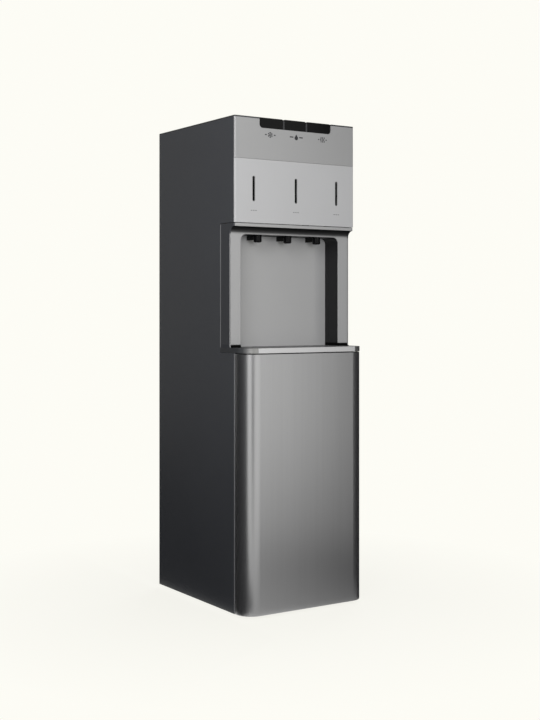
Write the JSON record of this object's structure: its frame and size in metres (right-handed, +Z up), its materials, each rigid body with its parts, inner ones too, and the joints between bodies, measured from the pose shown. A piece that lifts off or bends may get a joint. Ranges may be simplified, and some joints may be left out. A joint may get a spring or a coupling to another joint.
{
  "type": "bottom load water cooler",
  "caption": "Floor-standing water dispenser with a hinged bottle door, dispensing niche with drip tray and spouts, press keys and rear condenser.",
  "frame": {"origin": "centre of the footprint at floor level, midway between the ledge front and the rear edge", "axes": "+Z up, +Y towards the rear, +X towards the hinge side of the door"},
  "size_m": [0.31, 0.3784, 1.048],
  "materials": {
    "side_paint": "satin charcoal powder coat",
    "top_plastic": "fine-grained charcoal plastic",
    "panel_silver": "fine silver metallic coat",
    "panel_light": "light silver metallic coat",
    "door_steel": "dark brushed stainless, vertical grain",
    "niche_dark": "fine-grained dark plastic",
    "gloss_black": "gloss black plastic",
    "tray_silver": "satin silver coat",
    "grille_steel": "brushed stainless",
    "liner_plastic": "pale grey moulded plastic",
    "galvanised": "galvanised sheet",
    "rear_paint": "satin black coat",
    "black_paint": "black enamel",
    "stainless": "plain stainless",
    "copper": "drawn copper",
    "foam": "expanded foam",
    "hose": "food-grade silicone",
    "rubber_black": "black rubber",
    "white_plastic": "white moulded plastic",
    "board_green": "solder-masked board",
    "screw_zinc": "zinc plated",
    "rocker_red": "red rocker",
    "rocker_green": "green rocker",
    "rocker_black": "black rocker"
  },
  "bodies": {
    "cabinet": {"base_pan": "galvanised", "left_side_panel": "side_paint", "right_side_panel": "side_paint", "rear_panel": "rear_paint", "top_cover": "top_plastic", "mid_shelf": "galvanised", "tank_shelf": "galvanised", "feet": "rubber_black", "panel_screws": "screw_zinc", "compartment_liner": "liner_plastic", "bottle_floor": "liner_plastic", "probe": "white_plastic", "probe_hose": "hose", "hinge_brackets": "screw_zinc", "niche_housing": "niche_dark", "niche_trim": "panel_silver", "backsplash": "panel_silver", "cold_spout": "gloss_black", "warm_spout": "gloss_black", "hot_spout": "gloss_black", "solenoid_valves": "white_plastic", "indicator_panel": "panel_light", "indicator_windows": "gloss_black", "indicator_board": "board_green", "control_fascia": "panel_silver", "key_housing": "niche_dark", "key_switches": "gloss_black", "cold_tank": "stainless", "cold_tank_jacket": "foam", "hot_tank": "stainless", "hot_tank_jacket": "foam", "water_pump": "rubber_black", "feed_hose": "hose", "link_hose": "hose", "dispense_hoses": "hose", "compressor": "black_paint", "compressor_grommets": "rubber_black", "condenser": "black_paint", "suction_tube": "copper", "discharge_tube": "copper", "filter_dryer": "copper", "switch_bodies": "rocker_black", "drain_pipe": "stainless", "cord_gland": "rubber_black", "control_box": "white_plastic"},
    "door": {"door_skin": "door_steel", "door_liner": "liner_plastic", "door_top_cap": "niche_dark", "door_bottom_cap": "niche_dark", "door_magnet": "rubber_black", "hinge_bushes": "white_plastic"},
    "tray": {"drip_tray": "tray_silver"},
    "grille": {"drip_grille": "grille_steel"},
    "cold_key_body": {"cold_key": "gloss_black"},
    "warm_key_body": {"warm_key": "gloss_black"},
    "hot_key_body": {"hot_key": "gloss_black"},
    "hot_rocker_body": {"hot_switch_rocker": "rocker_red"},
    "cold_rocker_body": {"cold_switch_rocker": "rocker_green"},
    "light_rocker_body": {"light_switch_rocker": "rocker_black"},
    "drain_cap_body": {"drain_cap": "white_plastic"}
  },
  "joints": [
    {"name": "door_hinge", "type": "hinge", "parent": "cabinet", "child": "door", "pos_m": [0.147, -0.1663, 0.277], "axis": [0, 0, 1], "range_deg": [0, 110]},
    {"name": "tray_slide", "type": "slide", "parent": "cabinet", "child": "tray", "axis": [0, -1, 0], "range_m": [0, 0.12]},
    {"name": "grille_lift", "type": "slide", "parent": "tray", "child": "grille", "axis": [0, 0, 1], "range_m": [0, 0.05]},
    {"name": "cold_key_press", "type": "slide", "parent": "cabinet", "child": "cold_key_body", "axis": [0, 0, -1], "range_m": [0, 0.003], "stiffness_N_per_m": 600, "springref_m": -0.002},
    {"name": "warm_key_press", "type": "slide", "parent": "cabinet", "child": "warm_key_body", "axis": [0, 0, -1], "range_m": [0, 0.003], "stiffness_N_per_m": 600, "springref_m": -0.002},
    {"name": "hot_key_press", "type": "slide", "parent": "cabinet", "child": "hot_key_body", "axis": [0, 0, -1], "range_m": [0, 0.003], "stiffness_N_per_m": 600, "springref_m": -0.002},
    {"name": "hot_switch", "type": "hinge", "parent": "cabinet", "child": "hot_rocker_body", "pos_m": [0.112, 0.175, 0.906], "axis": [1, 0, 0], "range_deg": [-16, 0]},
    {"name": "cold_switch", "type": "hinge", "parent": "cabinet", "child": "cold_rocker_body", "pos_m": [0.112, 0.175, 0.94], "axis": [1, 0, 0], "range_deg": [-16, 0]},
    {"name": "light_switch", "type": "hinge", "parent": "cabinet", "child": "light_rocker_body", "pos_m": [0.112, 0.175, 0.974], "axis": [1, 0, 0], "range_deg": [-16, 0]},
    {"name": "drain_cap_off", "type": "slide", "parent": "cabinet", "child": "drain_cap_body", "axis": [0, 1, 0], "range_m": [0, 0.03]}
  ]
}
